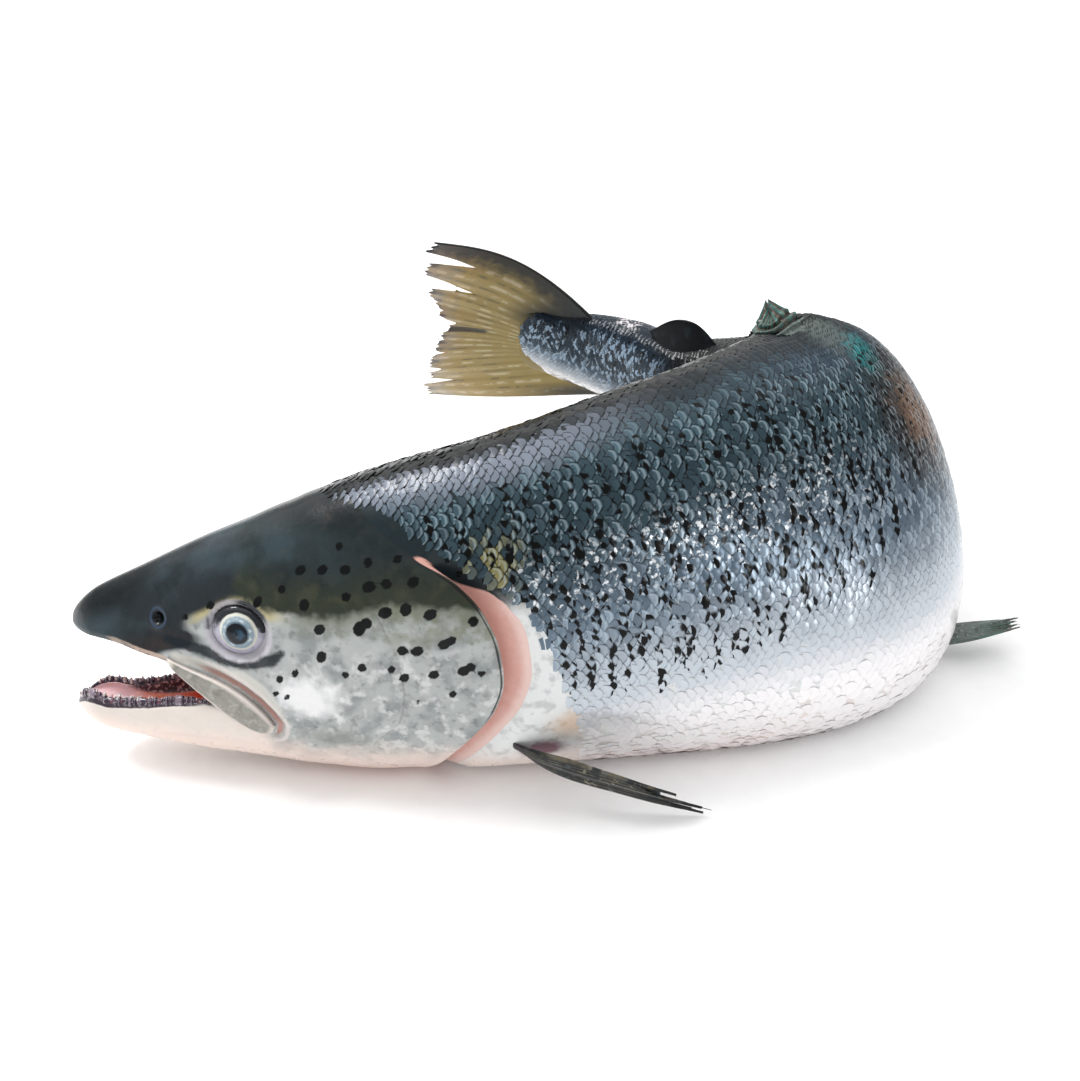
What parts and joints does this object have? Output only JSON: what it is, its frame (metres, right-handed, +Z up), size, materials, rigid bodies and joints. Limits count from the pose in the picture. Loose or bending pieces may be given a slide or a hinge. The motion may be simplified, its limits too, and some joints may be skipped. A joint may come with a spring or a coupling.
{
  "type": "whole raw salmon",
  "caption": "Whole raw salmon lying belly down, body bent round to one side, mouth open, tail raised, with scales, gill covers and fins.",
  "frame": {"origin": "middle of the bounding box on the plane that the fish lies on", "axes": "+X from the head towards the outer side of the bend, along the length that the fish takes up; +Y away from the head side towards the tail; +Z up"},
  "size_m": [0.3952, 0.3116, 0.1503],
  "materials": {
    "skin": "wet scaled skin, dark slate back to silver-white belly",
    "eye": "wet, clear cornea over a pale ring and dark pupil",
    "mouth": "wet orange-red flesh",
    "jaw_plate": "wet grey-olive skin over bone",
    "fin_dark": "wet dark grey rays and web",
    "fin_tail": "wet tan and grey rays and web"
  },
  "bodies": {
    "root": {"body": "skin", "eye_left": "eye", "eye_right": "eye", "tongue": "mouth", "jaw_plate_left": "jaw_plate", "jaw_plate_right": "jaw_plate", "tail_fin": "fin_tail", "dorsal_fin": "fin_dark", "adipose_fin": "fin_dark", "anal_fin": "fin_tail", "pectoral_fin_left": "fin_dark", "pectoral_fin_right": "fin_dark", "pelvic_fin_left": "fin_dark", "pelvic_fin_right": "fin_dark"}
  },
  "joints": []
}
